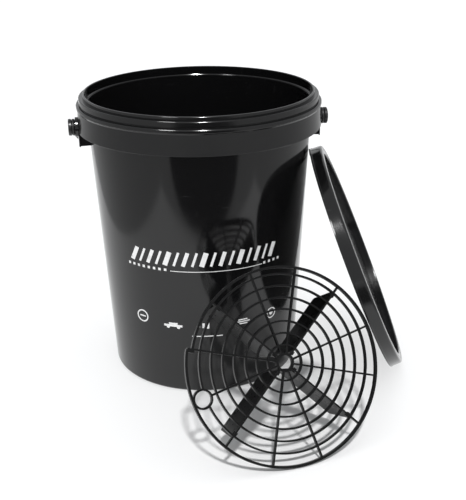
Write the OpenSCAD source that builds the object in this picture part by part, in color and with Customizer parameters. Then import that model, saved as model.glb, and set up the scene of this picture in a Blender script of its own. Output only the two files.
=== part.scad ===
// Wash bucket set: tapered pail with swinging bail, clip-on lid and grit guard.
// Millimetres, +Z up. The origin is the centre of the pail's flat base.
// +X runs along the bail's pivot axis, towards the side the lid leans on; -Y is the front.

/* [Pail] */
// Height from the floor to the top of the lip
bucket_height = 384; // [320:1:470]
// Inside radius of the mouth, just below the lip
mouth_radius = 150; // [130:0.5:180]
// Outside radius of the body at the base
base_radius = 129; // [105:0.5:155]
// Wall thickness of the body and the skirt
wall = 2.4; // [1.6:0.1:4]
// Thickness of the base
base_thickness = 3; // [2:0.1:6]
// Radius of the rounded corner at the base
base_corner = 4; // [1:0.5:8]

/* [Rim] */
// Width of the rim, from the mouth to the lower bead
rim_width = 12; // [10:0.5:20]
// Height of the plain lip above the rim's shoulder
lip_height = 4.4; // [3:0.1:8]
// Thickness of the lip
lip_thickness = 2.8; // [2:0.1:4]
// How far the mouth's ledge steps in, below the lip
ledge_step = 2.9; // [2:0.1:5]
// How far the shoulder stands inside the lower bead
shoulder_step = 3.7; // [2:0.1:6]
// Height of the shoulder's upright face
shoulder_height = 7.2; // [5:0.1:10]
// Height of the lower bead
bead_height = 5.6; // [4:0.1:8]
// Height of the lip, rim and skirt together
skirt_length = 46; // [36:1:60]
// How much narrower the skirt is just under the bead than at its lower edge
skirt_draft = 1.5; // [0:0.1:3]
// Width of each ear, across the pivot
ear_width = 40; // [32:1:60]
// How far each ear reaches below the skirt
ear_drop = 20; // [14:1:30]

/* [Handle] */
// Depth of the pivot axis below the top of the lip
pivot_drop = 44; // [38:1:60]
// Radius of the round boss in each ear
boss_radius = 13; // [12:0.5:16]
// How far the boss stands outside the rim
boss_proud = 2.5; // [1:0.1:5]
// Diameter of the bail wire
wire_diameter = 4.2; // [3:0.1:6]
// How much thicker the formed eyes are than the wire, in diameter
eye_swell = 0.3; // [0.2:0.1:1]
// Bend radius at each end of the straight grip length
grip_bend = 25; // [15:1:40]
// Angle where the bail's big arc meets that bend
bail_turn = 72; // [66:1:76]
// Diameter of the roller grip
grip_diameter = 21; // [16:0.5:26]
// Space between each end of the grip and the start of the bend
grip_end_gap = 2; // [0.5:0.5:10]
// Radius of each pivot cap's head
cap_radius = 11; // [9:0.5:14]
// Thickness of each pivot cap's head
cap_thickness = 4; // [3:0.1:7]
// Radius of each cap's neck, which the wire's eye turns on
neck_radius = 6.5; // [5:0.1:8]
// Radius of each cap's shank, through the ear
shank_radius = 5; // [3.5:0.1:6]

/* [Lid] */
// Height of the lid's skirt
lid_height = 16.4; // [14:0.2:24]
// Wall thickness of the lid
lid_wall = 2.2; // [1.6:0.1:3]
// How far the middle panel is set down below the land
panel_drop = 12; // [4:0.2:13]
// How far from upright the lid leans
lid_lean = 22.1; // [16:0.2:35]
// How far round from the pivot axis, towards the front, the lid leans
lid_turn = 10.4; // [0:0.2:30]
// How far the lid stands in front of the line it leans along
lid_aside = 12.8; // [0:0.1:30]
// Reach of the lift tab past the lid's edge
tab_reach = 3; // [2:0.5:10]

/* [Grit guard] */
// Radius of the outermost ring at its widest
guard_radius = 121.3; // [100:0.1:150]
// How much the outermost ring pulls in before its jog
guard_spiral = 7.7; // [4:0.1:9]
// Spacing between neighbouring rings
ring_pitch = 14.1; // [11:0.1:16]
// Distance from the outermost ring, at its widest, to the next ring
outer_gap = 15.6; // [14:0.1:18]
// Number of plain rings inside the outermost one
ring_count = 7; // [4:1:8]
// Width of each ring and spoke, seen from the front
rib_width = 2.2; // [1.6:0.1:3.5]
// Depth of each ring and spoke, front to back
rib_depth = 4.5; // [3:0.1:7]
// How far the spokes are set in from the rings, front and back
spoke_set = 0.3; // [0.2:0.1:1]
// Radius of the small hub ring
hub_radius = 10; // [8:0.5:14]
// Outside diameter of the finger ring
finger_ring = 24; // [20:0.5:30]
// How far the fins reach back from the grid's front face
fin_depth = 55; // [30:1:70]
// Thickness of each fin
fin_thickness = 2.4; // [1.6:0.1:4]
// Length of each fin's sloping outer end
fin_slope = 6; // [4:0.5:25]
// How far the guard leans back
guard_lean = 28; // [20:1:45]
// How far the guard is turned away from the front
guard_yaw = 13.2; // [0:0.2:25]
// Turn of the spokes about the hub
spoke_phase = 11.6; // [0:0.2:30]

/* [Spacing] */
// Space between the pail and the leaning lid at their nearest
lid_gap = 0.6; // [0.4:0.1:5]
// How far to the lid's side of the pail's middle the guard's hub stands
guard_aside = 67; // [0:1:80]
// How far in front of the rim the guard's hub stands
guard_stand_off = 99.5; // [80:1:160]
// Running clearance between the wire and what turns on it
run_fit = 0.08; // [0.02:0.01:0.1]
// End clearance beside each wire eye
eye_gap = 0.3; // [0.3:0.1:1]
// Clearance around each cap's shank
shank_fit = 0.05; // [0.02:0.01:0.1]
// Space between the resting grip and the pail's wall
grip_rest_gap = 0.5; // [0.4:0.1:2]
// Space the grip keeps as it swings past the rim
swing_gap = 2; // [1:0.5:6]
// Clearance between the lid's plug and the mouth
plug_fit = 0.6; // [0.3:0.1:1.5]
// Clearance between the lid's skirt and the rim's shoulder
skirt_fit = 0.5; // [0.3:0.1:1.5]

/* [Hidden] */
$fn = 96;
ov = 0.6;                                   // how deep joined shapes run into each other
rim_radius = mouth_radius + rim_width;      // over the lower bead
shoulder_z = bucket_height - lip_height;    // top of the shoulder
groove_z = shoulder_z - shoulder_height;    // groove between shoulder and bead
bead_top = groove_z - 1.6;
bead_low = bead_top - bead_height;
skirt_z = bucket_height - skirt_length;
ear_z = skirt_z - ear_drop;
shoulder_r = rim_radius - shoulder_step;
lid_skirt_in = shoulder_r + skirt_fit;
lid_radius = lid_skirt_in + lid_wall;
ledge_z = bucket_height - 13;
body_top_r = mouth_radius - ledge_step + wall;
taper = (body_top_r - base_radius) / ledge_z;
function body_r(z) = base_radius + taper * z;

pivot_z = bucket_height - pivot_drop;
boss_x = rim_radius + boss_proud;
boss_back = body_r(pivot_z) + 4.6;
wire_r = wire_diameter / 2;
eye_tube = wire_r + eye_swell / 2;
neck_len = 2 * eye_tube + 2 * eye_gap;
eye_x = boss_x + neck_len / 2;
eye_r = neck_radius + run_fit + eye_tube;
grip_r = grip_diameter / 2;
bead_reach = sqrt(pow(rim_radius, 2) + pow(bead_top - pivot_z, 2));
grip_u = bead_reach + grip_r + swing_gap;
bend_x = (eye_x - grip_bend) * cos(bail_turn);
bail_leg = grip_u - grip_bend - (eye_x - grip_bend) * sin(bail_turn);
grip_length = 2 * (bend_x - grip_end_gap);
kappa = atan(taper);
bail_drop = kappa + acos((cos(kappa) * body_r(pivot_z) + grip_r + grip_rest_gap) / grip_u);

// Outline that the leaning lid has to stay clear of, at height z
function keep_out(z) = z > ear_z - 4 ? boss_x + neck_len + cap_thickness + 1 : body_r(z);
function lid_s(a) = lid_radius * (1 + sin(a)) + (abs(a - 90) < 6 ? tab_reach : 0);
function lid_foot(a) = let (z = lid_s(a) * cos(lid_lean), y = lid_radius * cos(a) + lid_aside,
    k = keep_out(z) + lid_gap) abs(y) >= k ? 0 : lid_s(a) * sin(lid_lean) + sqrt(k * k - y * y);
lid_foot_x = max([for (a = [-90:1:90]) max(lid_foot(a), lid_foot(180 - a))]);
lid_mid_x = lid_foot_x - lid_radius * sin(lid_lean);
plug_r = mouth_radius - plug_fit;

outer_w = rib_width + 0.8;
outer_d = rib_depth + 0.5;
spiral_e = guard_spiral / 2;
ring1 = guard_radius - outer_gap;
guard_x = guard_aside;
guard_y = -(rim_radius + guard_stand_off);
guard_z = (guard_radius + outer_w / 2) * cos(guard_lean) + outer_d * sin(guard_lean);
finger_r = guard_radius - finger_ring / 2;
jog_a = spoke_phase + 150;                  // the outermost ring steps in at this spoke
// Radius of the outermost ring's inward-going arc, at angle a about the hub
function spiral_r(a) = guard_radius - spiral_e * (1 - cos(a - jog_a + 231));
finger_wall = 2.3;
fin_tip = ring1 + rib_width / 2 + 1.2;
lug_end = ring1 - rib_width / 2 - 0.2;     // the outer lugs stop short of the ring

black_gloss = [0.07, 0.07, 0.075];
black_matt = [0.05, 0.05, 0.052];

// Points of a rounded corner, from angle a0 to a1 around [cx, cz]
function arc(cx, cz, r, a0, a1, n = 5) =
    [for (i = [0:n]) [cx + r * cos(a0 + (a1 - a0) * i / n), cz + r * sin(a0 + (a1 - a0) * i / n)]];

// ---- Pail ----
module shell_profile() {
    skirt_top_r = rim_radius - skirt_draft;
    bead_mid = (bead_low + bead_top) / 2;
    polygon(concat(
        [[0, 0]],
        arc(base_radius - base_corner, base_corner, base_corner, -90, 0),
        [[body_r(bead_low - 1.2), bead_low - 1.2],
         [skirt_top_r - wall, bead_low - 1.2],
         [rim_radius - wall, skirt_z + 0.4]],
        arc(rim_radius - 0.5, skirt_z + 0.5, 0.5, -90, 0, 3),
        [[skirt_top_r, bead_low - 1]],
        arc(rim_radius - 1.8, bead_low + 1.8, 1.8, -60, 0, 4),
        arc(rim_radius - 1.8, bead_top - 1.8, 1.8, 0, 90, 4),
        [[shoulder_r - 1.1, bead_top], [shoulder_r - 1.1, groove_z]],
        arc(shoulder_r - 0.5, groove_z + 0.5, 0.5, -90, 0, 3),
        arc(shoulder_r - 1.4, shoulder_z - 1.4, 1.4, 0, 90, 4),
        [[mouth_radius + lip_thickness, shoulder_z]],
        arc(mouth_radius + lip_thickness - 1.1, bucket_height - 1.1, 1.1, 0, 90, 4),
        arc(mouth_radius + 0.7, bucket_height - 0.7, 0.7, 90, 180, 3),
        [[mouth_radius, ledge_z + 1.5], [mouth_radius - 0.6, ledge_z + 0.6],
         [body_top_r - wall, ledge_z], [body_r(base_thickness + 6) - wall, base_thickness + 6]],
        arc(body_r(base_thickness) - wall - 5, base_thickness + 5, 5, -8, -90),
        [[0, base_thickness]]));
}

module ear(side) {
    half = asin(ear_width / 2 / rim_radius);
    plate_in = rim_radius - wall + 0.35;
    rib_top = bead_low - 0.5;
    rotate([0, 0, side > 0 ? 0 : 180]) {
        rotate([0, 0, -half]) rotate_extrude(angle = 2 * half, $fn = 192)
            polygon([[plate_in, ear_z], [rim_radius - 0.7, ear_z], [rim_radius - 0.3, ear_z + 0.4],
                     [rim_radius - 0.3, skirt_z + 2.5], [plate_in, skirt_z + 2.5]]);
        for (s = [-1, 1]) rotate([0, 0, s * (half - 1.1)]) translate([0, wall / 2, 0]) rotate([90, 0, 0])
            linear_extrude(height = wall)
                polygon([[body_r(ear_z + 0.5) - wall / 2, ear_z + 0.5], [plate_in + ov, ear_z + 0.5],
                         [plate_in + ov, skirt_z + 2], [rim_radius - skirt_draft - wall + ov, rib_top],
                         [body_r(rib_top) - wall / 2, rib_top]]);
        translate([boss_back, 0, pivot_z]) rotate([0, 90, 0]) cylinder(r = boss_radius, h = boss_x - boss_back);
    }
}

module bucket_shell() color(black_gloss) difference() {
    union() {
        rotate_extrude($fn = 192) shell_profile();
        ear(1);
        ear(-1);
    }
    for (s = [-1, 1]) translate([s * (boss_back - 1), 0, pivot_z]) rotate([0, s * 90, 0])
        cylinder(r = shank_radius + shank_fit, h = boss_x - boss_back + 2);
}

// ---- Pivot caps: head, neck for the wire's eye, shank through the ear and a snap barb ----
module pivot_cap(side) color(black_matt)
    translate([side * boss_x, 0, pivot_z]) rotate([0, side * 90, 0]) rotate_extrude($fn = 96)
        polygon(concat(
            [[0, boss_back - boss_x - 3.2], [shank_radius - 1.1, boss_back - boss_x - 3.2],
             [shank_radius + 0.8, boss_back - boss_x - 1], [shank_radius + 0.8, boss_back - boss_x],
             [shank_radius, boss_back - boss_x], [shank_radius, 0], [neck_radius, 0],
             [neck_radius, neck_len], [cap_radius, neck_len]],
            arc(cap_radius - 1.2, neck_len + cap_thickness - 1.2, 1.2, 0, 90, 4),
            [[3.4, neck_len + cap_thickness], [2.8, neck_len + cap_thickness - 0.6],
             [0, neck_len + cap_thickness - 0.6]]));
module pivot_cap_left() pivot_cap(-1);
module pivot_cap_right() pivot_cap(1);

// ---- Bail: drawn flat in XY with the pivot axis on X, then swung down behind the pail ----
module at_bail() translate([0, 0, pivot_z]) rotate([-bail_drop, 0, 0]) children();

// Legs and bends are a hair thinner than the arcs and the straight length, and end inside them
module bail_half() {
    thin_r = wire_r - 0.05;
    translate([eye_x, 0, 0]) rotate([0, 90, 0]) rotate_extrude() translate([eye_r, 0])
        circle(r = eye_tube, $fn = 48);
    translate([eye_x, eye_r, 0]) rotate([-90, 0, 0]) cylinder(r = thin_r, h = bail_leg - eye_r + 1, $fn = 48);
    translate([0, bail_leg, 0]) rotate_extrude(angle = bail_turn, $fn = 192)
        translate([eye_x, 0]) circle(r = wire_r, $fn = 48);
    translate([bend_x, grip_u - grip_bend, 0]) rotate([0, 0, bail_turn - 2])
        rotate_extrude(angle = 94 - bail_turn) translate([grip_bend, 0]) circle(r = thin_r, $fn = 48);
}

module bail_wire() color(black_matt) at_bail() union() {
    bail_half();
    mirror([1, 0, 0]) bail_half();
    translate([-bend_x, grip_u, 0]) rotate([0, 90, 0]) cylinder(r = wire_r, h = 2 * bend_x, $fn = 48);
}

module handle_grip() color(black_matt) at_bail()
    translate([-grip_length / 2, grip_u, 0]) rotate([0, 90, 0]) rotate_extrude()
        polygon(concat(
            [[wire_r + run_fit, 0]],
            arc(grip_r - 2, 2, 2, -90, 0, 4),
            [for (i = [1:6]) for (p = [[0, -2.2], [-0.7, -1.4], [-0.7, 1.4], [0, 2.2]])
                [grip_r + p[0], i * grip_length / 7 + p[1]]],
            arc(grip_r - 2, grip_length - 2, 2, 0, 90, 4),
            [[wire_r + run_fit, grip_length]]));

// ---- Lid: drawn with its outer face up, then leaned against the pail ----
module at_lid() rotate([0, 0, -lid_turn])
    translate([lid_mid_x + lid_height * cos(lid_lean), -lid_aside,
               lid_radius * cos(lid_lean) + lid_height * sin(lid_lean)])
    rotate([0, 90 - lid_lean, 0]) children();

module lid_profile() {
    face_r = lid_radius - 1.2;
    panel_r = plug_r - lid_wall - 6;
    polygon(concat(
        [[0, -panel_drop + 1], [panel_r - 1, -panel_drop + 1], [panel_r, -panel_drop],
         [plug_r - lid_wall - 1.4, -panel_drop]],
        [[plug_r - lid_wall, -panel_drop + 0.8]],
        arc(plug_r - lid_wall + 1.6, -1.6, 1.6, 180, 90, 4),
        [[plug_r + 3.4, 0], [plug_r + 3.9, -0.5], [plug_r + 4.9, -0.5], [plug_r + 5.4, 0]],
        arc(face_r - 3.2, -3.2, 3.2, 90, 0, 6),
        [[lid_radius - 0.5, -lid_height + 2.6], [lid_radius, -lid_height + 2.1], [lid_radius, -lid_height + 0.4],
         [lid_radius - 0.4, -lid_height], [lid_skirt_in - 0.2, -lid_height],
         [lid_skirt_in - 1, -lid_height + 0.8], [lid_skirt_in - 1, -lid_height + 1.4],
         [lid_skirt_in, -lid_height + 2.4], [lid_skirt_in - 0.8, -lid_wall - 1.4],
         [lid_skirt_in - 2.2, -lid_wall], [plug_r, -lid_wall],
         [plug_r, -panel_drop - lid_wall + 1], [plug_r - 1, -panel_drop - lid_wall],
         [panel_r - 1, -panel_drop - lid_wall], [panel_r - 2, -panel_drop - lid_wall + 1],
         [0, -panel_drop - lid_wall + 1]]));
}

module lid_shell() color(black_gloss) at_lid() union() {
    rotate_extrude($fn = 192) lid_profile();
    translate([-lid_radius - tab_reach, -12, -lid_height]) cube([tab_reach + 1.6, 24, 1.6]);
}

module lid_gasket() color([0.16, 0.16, 0.17]) at_lid()
    rotate_extrude($fn = 192) translate([plug_r + 1.2, -lid_wall - 1.8])
        square([4.6, 1.8]);

// ---- Grit guard: drawn flat with its front face up, then stood in front of the pail ----
module at_guard() translate([guard_x, guard_y, guard_z]) rotate([90 - guard_lean, 0, guard_yaw]) children();

module rib_ring(r, w = rib_width, d = rib_depth)
    translate([0, 0, -d]) difference() {
        cylinder(r = r + w / 2, h = d, $fn = 144);
        translate([0, 0, -1]) cylinder(r = r - w / 2, h = d + 2, $fn = 144);
    }

// Part of the outermost ring: its centre line has radius r about the point [cx, 0] turned to angle ca
module rib_arc(r, ca, cx, a0, a1, w, d) rotate([0, 0, ca]) translate([cx, 0, 0])
    rotate([0, 0, a0 - ca]) rotate_extrude(angle = a1 - a0, $fn = 192)
        translate([r - w / 2, -d]) square([w, d]);

function finger_pos() = [finger_r * cos(spoke_phase + 180), finger_r * sin(spoke_phase + 180)];

module guard_grid() color(black_matt) at_guard() union() {
    difference() {
        union() {
            for (i = [0:ring_count - 1]) rib_ring(ring1 - i * ring_pitch);
            rib_ring(hub_radius, 3);
            for (k = [0:11]) rotate([0, 0, spoke_phase + 30 * k])
                translate([hub_radius, -rib_width / 2, -rib_depth + spoke_set])
                    cube([(k == 6 ? finger_r : k > 4 && k < 10 ? guard_radius : spiral_r(spoke_phase + 30 * k))
                          - hub_radius, rib_width, rib_depth - 2 * spoke_set]);
        }
        translate([finger_pos()[0], finger_pos()[1], -rib_depth - 1])
            cylinder(r = finger_ring / 2 - 0.4, h = rib_depth + 2);
    }
    // outermost ring: one wide arc about the hub, and one that pulls in towards the jog
    rib_arc(guard_radius, jog_a, 0, jog_a + 1, jog_a + 129, outer_w, outer_d);
    rib_arc(guard_radius - spiral_e, jog_a - 231, spiral_e, jog_a - 232, jog_a, outer_w - 0.1, outer_d - 0.05);
    rotate([0, 0, jog_a]) translate([guard_radius - guard_spiral - outer_w / 2 + 0.4, 0.4, -outer_d + 0.2])
        cube([guard_spiral + outer_w - 0.7, 3.6, outer_d - 0.2]);
    translate([finger_pos()[0], finger_pos()[1], 0]) rib_ring(finger_ring / 2 - finger_wall / 2, finger_wall, outer_d);
}

// A fin stands behind one spoke, with a pair of lugs that grip the spoke at each end
module guard_fin(k) color(black_matt) at_guard() rotate([0, 0, spoke_phase + 30 * k]) union() {
    translate([0, fin_thickness / 2, 0]) rotate([90, 0, 0]) linear_extrude(height = fin_thickness)
        polygon([[hub_radius + 3, -rib_depth], [fin_tip, -rib_depth], [fin_tip, -rib_depth - 3],
                 [fin_tip - fin_slope, -fin_depth + 2], [fin_tip - fin_slope - 2, -fin_depth],
                 [hub_radius + 5, -fin_depth], [hub_radius + 3, -fin_depth + 2]]);
    for (x = [hub_radius + 3, lug_end - 4]) {
        for (s = [-1, 1]) translate([x, s * (rib_width / 2 + 0.9) - 0.8, -rib_depth - 2])
            cube([4, 1.6, rib_depth + 0.8]);
        translate([x, -rib_width / 2 - 1.7, -rib_depth - 2]) cube([4, rib_width + 3.4, 2]);
    }
}
module guard_fin_upper_right() guard_fin(1);
module guard_fin_upper_left() guard_fin(4);
module guard_fin_lower_left() guard_fin(7);
module guard_fin_lower_right() guard_fin(10);

bucket_shell();
pivot_cap_left();
pivot_cap_right();
bail_wire();
handle_grip();
lid_shell();
lid_gasket();
guard_grid();
guard_fin_upper_right();
guard_fin_upper_left();
guard_fin_lower_left();
guard_fin_lower_right();
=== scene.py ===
# %% [markdown]
# A wash bucket set: a glossy black pail with a swinging bail, its clip-on lid leaned on one side,
# and a round grit guard stood in front. The imported model gives every moulded shape at its true size,
# so most of the work here is the finish, the printed marks and the light.
# The model is opened first, and the pail's height and rim are read from its box.

# %% Open the imported model
from math import cos, pi, radians, sin

import bpy
from mathutils import Matrix, Vector


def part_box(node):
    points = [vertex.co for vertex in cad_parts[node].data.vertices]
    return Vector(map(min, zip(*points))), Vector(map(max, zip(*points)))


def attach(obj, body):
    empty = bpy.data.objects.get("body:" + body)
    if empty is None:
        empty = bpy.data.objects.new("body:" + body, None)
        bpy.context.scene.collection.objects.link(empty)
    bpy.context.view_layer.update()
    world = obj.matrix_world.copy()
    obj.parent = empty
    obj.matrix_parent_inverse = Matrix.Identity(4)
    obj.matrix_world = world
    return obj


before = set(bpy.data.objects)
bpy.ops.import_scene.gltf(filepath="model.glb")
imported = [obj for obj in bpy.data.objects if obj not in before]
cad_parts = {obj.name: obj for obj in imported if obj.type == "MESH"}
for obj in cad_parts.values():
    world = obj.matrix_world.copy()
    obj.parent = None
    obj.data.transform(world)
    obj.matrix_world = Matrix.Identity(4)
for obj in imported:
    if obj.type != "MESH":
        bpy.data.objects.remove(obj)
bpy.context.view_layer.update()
shell_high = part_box("bucket_shell")[1]
rim_r = shell_high.y
pail_h = shell_high.z
print("pail", round(pail_h, 3), "m high, rim", round(2 * rim_r, 3), "m across")


def let_go():
    """Leave edit mode and deselect everything."""
    if bpy.context.mode != "OBJECT":
        bpy.ops.object.mode_set(mode="OBJECT")
    bpy.ops.object.select_all(action="DESELECT")


let_go()

# %% [markdown]
# The camera stands in front of the pail, a little to its left, and looks down by about 22 degrees.
# A camera's own axes are right, up and back, so its turn is written as three columns of a matrix:
# the look direction comes from the pan and the tilt, and the small roll then turns right and up.

# %% Camera
pan, tilt, roll = radians(7.886), radians(22.416), radians(-0.786)
look = Vector((sin(pan) * cos(tilt), cos(pan) * cos(tilt), -sin(tilt)))
right = Vector((cos(pan), -sin(pan), 0))
up = right.cross(look)
right, up = cos(roll) * right + sin(roll) * up, cos(roll) * up - sin(roll) * right
let_go()
bpy.ops.object.camera_add()
camera = bpy.context.object
camera.name = "camera"
turn = Matrix((right, up, -look)).transposed()
camera.matrix_world = Matrix.Translation((-0.1235, -1.1993, 0.6496)) @ turn.to_4x4()
camera.data.lens = 71.1
camera.data.sensor_width = 36
camera.data.sensor_fit = "HORIZONTAL"
camera.data.clip_end = 60
bpy.context.scene.camera = camera
print("camera", [round(v, 3) for v in camera.location], "lens", camera.data.lens)

# %% [markdown]
# The studio is a white floor under a pale, even sky. One small soft lamp in front and above gives the
# readable shadows of the guard's rings; the sky fills them. The sky is brighter to the eye than to
# the objects, so the backdrop stays clean while the shadows keep their depth.

# %% Floor and sky
let_go()
bpy.ops.mesh.primitive_plane_add(size=40, location=(0, 0, -0.0004))
floor = bpy.context.object
floor.name = "studio_floor"

world = bpy.data.worlds.new("pale_sky")
bpy.context.scene.world = world
world.use_nodes = True
sky = world.node_tree
sky.nodes.clear()
sky_out = sky.nodes.new("ShaderNodeOutputWorld")
fill = sky.nodes.new("ShaderNodeBackground")
fill.inputs["Color"].default_value = (0.97, 0.985, 1, 1)
fill.inputs["Strength"].default_value = 0.62
plain = sky.nodes.new("ShaderNodeBackground")
plain.inputs["Color"].default_value = (1, 1, 1, 1)
plain.inputs["Strength"].default_value = 1.05
path = sky.nodes.new("ShaderNodeLightPath")
choose = sky.nodes.new("ShaderNodeMixShader")
sky.links.new(path.outputs["Is Camera Ray"], choose.inputs[0])
sky.links.new(fill.outputs[0], choose.inputs[1])
sky.links.new(plain.outputs[0], choose.inputs[2])
sky.links.new(choose.outputs[0], sky_out.inputs["Surface"])
bpy.context.scene.view_settings.view_transform = "Standard"
print("floor and sky ready")

# %% [markdown]
# The key lamp stands in front at 55 degrees up and a touch to the left. It is a sun lamp, so the
# floor is lit evenly from edge to edge, and its small disc leaves the guard's shadow nearly sharp.

# %% Key light
let_go()
bpy.ops.object.light_add(type="SUN", location=(0, -2, 3))
key = bpy.context.object
key.name = "key_light"
key.data.energy = 2.6
key.data.angle = radians(4.5)
lift, swing = radians(55), radians(-2)
toward_key = Vector((sin(swing) * cos(lift), -cos(swing) * cos(lift), sin(lift)))
key.rotation_euler = toward_key.to_track_quat("Z", "Y").to_euler()
print("key light comes from", [round(v, 2) for v in toward_key])

# %% [markdown]
# A lamp this small would also throw the tall pail's own shadow right across the back of the set. A
# studio hides that with a second lamp. Here the key lamp's shadow is kept to the guard, and the pail
# and the lid have only the soft contact shadow that the sky gives them.

# %% Key light's shadows
casting = bpy.data.collections.new("casts_a_key_shadow")
for name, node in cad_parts.items():
    if name.startswith("guard"):
        casting.objects.link(node)
key.light_linking.blocker_collection = casting

# %% [markdown]
# A second lamp, high on the left, is there only for the shine: it lights nothing, but it puts the
# short bright streaks on the lid's skirt, on the wall of its dish and on the turned edges of the rim.

# %% Shine light
let_go()
bpy.ops.object.light_add(type="SUN", location=(-1, -2, 3))
shine = bpy.context.object
shine.name = "shine_light"
shine.data.energy = 0.8
shine.data.angle = radians(13)
shine.rotation_euler = Vector((-0.47, -0.5, 0.72)).to_track_quat("Z", "Y").to_euler()
shine.visible_diffuse = False
shine.data.use_shadow = False
print("shine light", round(shine.data.energy, 2))

# %% [markdown]
# Glossy black plastic shows the room and little of itself. Cards laid on the studio floor, seen only
# by the gloss, shape what it mirrors: a round dark one in front gives the deep tongue down the middle
# of the pail, and grey ones further out keep its flanks from glaring.


# %% Cards for the gloss
def card(name, tone, z, low=None, high=None, middle=None, radius=0.0):
    """A flat card on the studio floor, a rectangle or a disc, that only the gloss sees."""
    let_go()
    if middle:
        bpy.ops.mesh.primitive_circle_add(vertices=96, radius=radius, fill_type="NGON", location=(*middle, z))
        made = bpy.context.object
    else:
        bpy.ops.mesh.primitive_plane_add(size=1, location=((low[0] + high[0]) / 2, (low[1] + high[1]) / 2, z))
        made = bpy.context.object
        made.scale = (high[0] - low[0], high[1] - low[1], 1)
    made.name = name
    for sees in ("visible_camera", "visible_diffuse", "visible_transmission", "visible_shadow"):
        setattr(made, sees, False)
    paint = bpy.data.materials.new(name)
    paint.use_nodes = True
    paint.node_tree.nodes["Principled BSDF"].inputs["Base Color"].default_value = (tone, tone, tone, 1)
    paint.node_tree.nodes["Principled BSDF"].inputs["Roughness"].default_value = 1
    made.data.materials.append(paint)
    return made


card("front_disc", 0.01, 0.0, middle=(-0.06, -1.27), radius=0.7)
card("left_card", 0.45, -0.0002, (-6, -6), (-0.56, 6))
card("right_card", 0.45, -0.0002, (0.6, -6), (6, 6))
card("front_card", 0.45, -0.0002, (-0.56, -6), (0.6, -0.56))
print("cards laid")

# %% [markdown]
# Every finish is built from small patterns: a little sum of noises and lines that says how worn,
# dusty or wavy each spot is. Written as node graphs these are hard to read, so one small class
# wraps a socket and lets a pattern be written as ordinary sums. A second class holds one material,
# adds any other node by its type, and feeds the shader's sockets.


# %% Sums on sockets
class Pattern:
    """A socket's value, to be used in sums."""

    def __init__(self, finish, socket):
        self.finish, self.socket = finish, socket

    def sum(self, operation, *terms):
        return self.finish.node("ShaderNodeMath", {"operation": operation}, dict(enumerate(terms)))

    def __add__(self, other):
        return self.sum("ADD", self, other)

    def __sub__(self, other):
        return self.sum("SUBTRACT", self, other)

    def __rsub__(self, other):
        return self.sum("SUBTRACT", other, self)

    def __mul__(self, other):
        return self.sum("MULTIPLY", self, other)

    __radd__, __rmul__ = __add__, __mul__


class Finish:
    """One material. node() adds a node: its settings first, then its sockets' values or links."""

    def __init__(self, name):
        self.material = bpy.data.materials.new(name)
        self.material.use_nodes = True
        self.tree = self.material.node_tree
        self.shader = self.tree.nodes["Principled BSDF"]
        self.place = self.node("ShaderNodeTexCoord", out="Object")

    def node(self, kind, settings=None, sockets=None, out=0):
        made = self.tree.nodes.new(kind)
        for key, value in (settings or {}).items():
            setattr(made, key, value)
        for key, value in (sockets or {}).items():
            self.feed(made.inputs[key], value)
        return Pattern(self, made.outputs[out])

    def feed(self, socket, value):
        if isinstance(value, Pattern):
            self.tree.links.new(value.socket, socket)
        else:
            socket.default_value = value

    def set(self, **sockets):
        """Feeds the shader: names are its sockets, with _ for each space."""
        for name, value in sockets.items():
            self.feed(self.shader.inputs[name.replace("_", " ")], value)

    def noise(self, size, detail=2, stretch=(1, 1, 1), rough=0.5):
        """Soft noise with features about size metres across, from 0 to 1."""
        where = self.node("ShaderNodeMapping", None, {"Vector": self.place, "Scale": stretch})
        return self.node("ShaderNodeTexNoise", None,
                         {"Vector": where, "Scale": 1 / size, "Detail": detail, "Roughness": rough})

    def steps(self, value, low, high):
        """0 below low and 1 above high, smooth between."""
        return self.node("ShaderNodeMapRange", {"interpolation_type": "SMOOTHSTEP"},
                         {"Value": value, "From Min": low, "From Max": high})

    def axis(self, letter):
        """One coordinate of the place, in metres."""
        return self.node("ShaderNodeSeparateXYZ", None, {"Vector": self.place}, out=letter)

    def mix(self, share, first, second):
        """One colour fading into another."""
        return self.node("ShaderNodeMix", {"data_type": "RGBA"},
                         {"Factor": share, 6: first, 7: second}, out=2)

    def relief(self, height, depth, below=None):
        """Shapes the surface by height, depth metres deep where the height is 1."""
        sockets = {"Height": height, "Distance": depth, "Strength": 1}
        if below is not None:
            sockets["Normal"] = below
        return self.node("ShaderNodeBump", None, sockets)


print("finish tools ready")

# %% [markdown]
# The pail and its lid are moulded polypropylene with a polished skin. What tells it from plain black
# is small: the skin is a little wavy, as thick walls sink while they cool; handling leaves hazy
# smears and hair scratches; and dust settles low down. So the colour hardly moves, while the
# roughness and the relief do.


# %% Glossy moulded plastic
def glossy_black(name, tone=0.004, gloss=0.09, wave=0.00022):
    made = Finish(name)
    smear = made.steps(made.noise(0.11, 3), 0.45, 0.8)
    haze = made.noise(0.018, 4)
    hairs = made.steps(made.noise(0.0016, 1, (1, 1, 0.03)), 0.69, 0.76)
    hairs_across = made.steps(made.noise(0.002, 1, (0.05, 0.05, 1)), 0.71, 0.78)
    dust = made.steps(made.noise(0.0011, 1), 0.72, 0.8) * made.steps(made.noise(0.09, 2), 0.4, 0.7)
    worn = made.steps(made.axis("Z"), 0.03, 0.0) * haze
    scratch = (hairs + hairs_across) * made.steps(made.noise(0.06, 2), 0.45, 0.65)
    dull = smear * 0.05 + haze * 0.03 + scratch * 0.14 + dust * 0.2 + worn * 0.12
    pale = dust * 0.5 + scratch * 0.16 + worn * 0.1
    made.set(Base_Color=made.mix(pale, (tone, tone, tone * 1.06, 1), (0.06, 0.06, 0.063, 1)),
             Roughness=gloss + dull, IOR=1.49)
    sink = made.relief(made.noise(0.13, 1), wave)
    skin = made.relief(made.noise(0.0016, 2), 0.0000018, sink)
    made.set(Normal=made.relief(scratch, -0.000004, skin))
    return made.material


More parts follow.
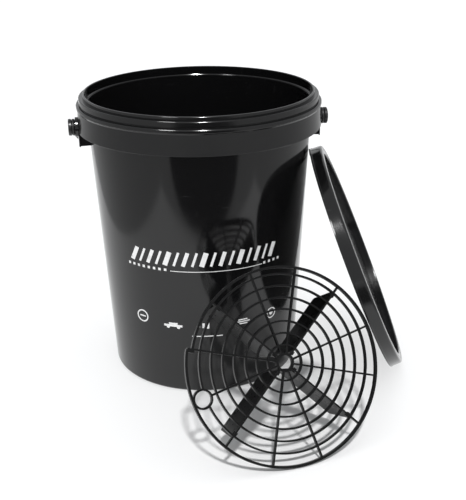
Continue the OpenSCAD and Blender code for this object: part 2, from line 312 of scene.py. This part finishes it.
pail_black = glossy_black("pail_black")
lid_black = glossy_black("lid_black", tone=0.005, gloss=0.1, wave=0.0001)
print("glossy plastics", pail_black.name, lid_black.name)

# %% [markdown]
# The guard, the caps and the grip are plastic from a blasted mould: a fine even grain, less shine,
# and rubbed patches that are a little brighter. The bend is how strongly the plastic turns light,
# which also sets how much it mirrors; the guard is given a low one, so that its thin ribs stay dark.


# %% Grained moulded plastic
def grained_black(name, tone=0.004, gloss=0.3, grain=0.00001, size=0.0006, bend=1.49):
    made = Finish(name)
    cloud = made.noise(0.03, 3)
    pits = made.noise(size, 2)
    rubbed = made.steps(made.noise(0.008, 3), 0.6, 0.75)
    nicks = made.steps(made.noise(0.0012, 1, (1, 0.1, 1)), 0.72, 0.78)
    made.set(Base_Color=made.mix(rubbed * 0.25 + nicks * 0.4, (tone, tone, tone * 1.05, 1),
                                 (0.025, 0.025, 0.026, 1)),
             Roughness=gloss + cloud * 0.1 - rubbed * 0.06 + nicks * 0.1, IOR=bend)
    made.set(Normal=made.relief(pits, grain))
    return made.material


guard_black = grained_black("guard_black", tone=0.003, gloss=0.24, bend=1.3)
cap_black = grained_black("cap_black", tone=0.006, gloss=0.26)
grip_black = grained_black("grip_black", tone=0.008, gloss=0.42, grain=0.00002)
print("grained plastics", guard_black.name, cap_black.name, grip_black.name)

# %% [markdown]
# A bail of this kind is drawn steel wire with a thin black coat. The coat lies a little lumpy, and
# where the wire has rubbed it is chipped through to bare steel, so metal shows only in small spots.


# %% Coated wire
def coated_wire(name):
    made = Finish(name)
    lumps = made.noise(0.0035, 2)
    bare = made.steps(made.noise(0.004, 3), 0.7, 0.73)
    made.set(Base_Color=made.mix(bare, (0.01, 0.01, 0.0105, 1), (0.32, 0.31, 0.3, 1)),
             Roughness=0.3 + lumps * 0.14 + bare * 0.1, Metallic=bare,
             Normal=made.relief(lumps - bare * 0.4, 0.00003))
    return made.material


bail_coat = coated_wire("bail_coat")
print("wire", bail_coat.name)

# %% [markdown]
# The sealing ring is soft black rubber with a grey bloom, dull beside everything round it.


# %% Soft rubber
def soft_rubber(name):
    made = Finish(name)
    bloom = made.noise(0.02, 4)
    made.set(Base_Color=made.mix(bloom, (0.045, 0.045, 0.048, 1), (0.085, 0.085, 0.088, 1)),
             Roughness=0.55 + bloom * 0.2, Normal=made.relief(made.noise(0.0008, 2), 0.00001))
    return made.material


gasket_rubber = soft_rubber("gasket_rubber")
print("finishes", [m.name for m in bpy.data.materials if m.name.endswith(("black", "coat", "rubber"))])

# %% [markdown]
# Each moulded piece keeps the mesh it came with and only changes its finish. Pieces of one plastic
# share one finish, as they would share one batch of pellets.

# %% Dress the moulded pieces
FINISHES = {"bucket_shell": pail_black, "pivot_cap_left": cap_black, "pivot_cap_right": cap_black,
            "bail_wire": bail_coat, "handle_grip": grip_black, "lid_shell": lid_black,
            "lid_gasket": gasket_rubber, "guard_grid": guard_black}
for name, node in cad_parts.items():
    finish = FINISHES.get(name, guard_black)
    for slot in node.material_slots:
        slot.material = finish
    print(name, "->", finish.name)

# %% [markdown]
# The front of the pail carries a screen print in white ink: a wide band of slanted strokes, a row of
# small dots and a thin rule under it, and five little signs lower down. Each mark is a flat grid or
# disc in front of the wall, pressed straight back onto it and given a film's thickness, so it wraps
# round the taper as a print does. Places are given in millimetres: first how far round the wall from
# the middle of the front, then how high.


# %% White ink
def white_ink(name):
    made = Finish(name)
    pinholes = made.steps(made.noise(0.0007, 2), 0.66, 0.72)
    rub = made.steps(made.noise(0.012, 3), 0.5, 0.75)
    made.set(Base_Color=made.mix(rub * 0.3 + pinholes * 0.6, (0.78, 0.78, 0.78, 1), (0.3, 0.3, 0.31, 1)),
             Roughness=0.42 + rub * 0.12, Normal=made.relief(made.noise(0.0005, 2), 0.000008))
    return made.material


ink = white_ink("white_ink")
MM = 0.001
WRAP_R = 0.14      # the pail's outside radius about halfway up the print
IN_FRONT = -0.2    # where the flat marks start, clear of the wall
FACING_OUT = pi / 2
STRIP = 0.003      # about how wide and how tall the flat parts of a mark are,
ROW = 0.006        # so that it follows the round wall
marks = []


def across(s):
    """The sideways place of arc length s on the pail's front, in metres."""
    return WRAP_R * sin(s / WRAP_R)


def stroke(s, z, wide, high, lean=0.0):
    """A straight mark, wide by high, leaning to the right by an angle in degrees."""
    s, z, wide, high = s * MM, z * MM, wide * MM, high * MM
    let_go()
    bpy.ops.mesh.primitive_grid_add(x_subdivisions=max(1, round(wide / STRIP)),
                                    y_subdivisions=max(1, round(high / ROW)),
                                    size=1, location=(across(s), IN_FRONT, z),
                                    rotation=(FACING_OUT, radians(lean), 0))
    bpy.context.object.scale = (wide * cos(s / WRAP_R), high, 1)
    marks.append(bpy.context.object)


def disc(s, z, radius, hole=0.0):
    """A round mark, with a round hole when one is given."""
    s, z, radius, hole = s * MM, z * MM, radius * MM, hole * MM
    let_go()
    bpy.ops.mesh.primitive_circle_add(vertices=32, radius=radius, fill_type="NOTHING" if hole else "NGON",
                                      location=(across(s), IN_FRONT, z), rotation=(FACING_OUT, 0, 0))
    made = bpy.context.object
    if hole:
        bpy.ops.object.mode_set(mode="EDIT")
        bpy.ops.mesh.select_all(action="SELECT")
        bpy.ops.mesh.extrude_region_move()
        bpy.ops.transform.resize(value=(hole / radius,) * 3, center_override=made.location)
        bpy.ops.object.mode_set(mode="OBJECT")
    made.scale = (cos(s / WRAP_R), 1, 1)
    marks.append(made)


# %% Lay out the print
BAND_Z, DOTS_Z, RULE_Z, SIGNS_Z, FOOT_RULE_Z = 197, 181, 180, 102, 86
BAND_HIGH, BAND_LEAN, BAND_PITCH = 20, 18, 11.9
BAND_WIDTHS = (6.5, 3.2, 5, 3.2)
DOT = 3.5

for step in range(17):
    stroke(-109 + step * BAND_PITCH, BAND_Z, BAND_WIDTHS[step % len(BAND_WIDTHS)], BAND_HIGH, BAND_LEAN)
for first, count, pitch in ((-119, 8, 7.8), (69, 4, 8)):
    for step in range(count):
        stroke(first + step * pitch, DOTS_Z, DOT, DOT)
stroke(3.5, RULE_Z, 119, 0.9)

# a ring with a bar in it
disc(-101, 106, 9, 7.2)
stroke(-101, 106, 9, 1.8)
# a low cart on two wheels
stroke(-56, 100, 25, 3)
stroke(-56, 103, 12, 2.6)
for side in (-1, 1):
    disc(-56 + side * 7, 98, 2.2)
# three steps
for step in range(3):
    stroke(-22 + step * 6, SIGNS_Z, 3, 5 + 2 * step)
# three ripples
for lift_by, wide in ((0, 25), (-3, 18), (3, 18)):
    stroke(34.5, SIGNS_Z + lift_by, wide, 1.6)
# a ring round a spot
disc(82, SIGNS_Z, 8, 6.4)
disc(82, SIGNS_Z, 3)
stroke(-11, FOOT_RULE_Z, 40, 1.2)
print(len(marks), "marks laid out")

# %% Press the print onto the pail
let_go()
for made in marks:
    made.select_set(True)
bpy.context.view_layer.objects.active = marks[0]
bpy.ops.object.join()
pail_print = bpy.context.object
pail_print.name = "pail_print"
bpy.ops.object.transform_apply(location=True, rotation=True, scale=True)
wrap = pail_print.modifiers.new("wrap", "SHRINKWRAP")
wrap.wrap_method = "PROJECT"
wrap.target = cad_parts["bucket_shell"]
wrap.use_project_y = True
wrap.use_positive_direction = True
wrap.use_negative_direction = False
wrap.offset = 0.15 * MM
bpy.ops.object.modifier_apply(modifier=wrap.name)
film = pail_print.modifiers.new("film", "SOLIDIFY")
film.thickness = 0.1 * MM
film.offset = -1
bpy.ops.object.modifier_apply(modifier=film.name)
pail_print.data.materials.clear()
pail_print.data.materials.append(ink)
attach(pail_print, "pail")
print("print", [round(v, 4) for v in pail_print.dimensions])

# %% [markdown]
# The floor is plain matt white, and takes the shadows. It is lit well past half, so that it meets the
# pale sky without a line.

# %% Floor paint
pale = Finish("pale_floor")
pale.set(Base_Color=(0.9, 0.9, 0.9, 1), Roughness=0.55)
floor.data.materials.append(pale.material)
print("floor painted")
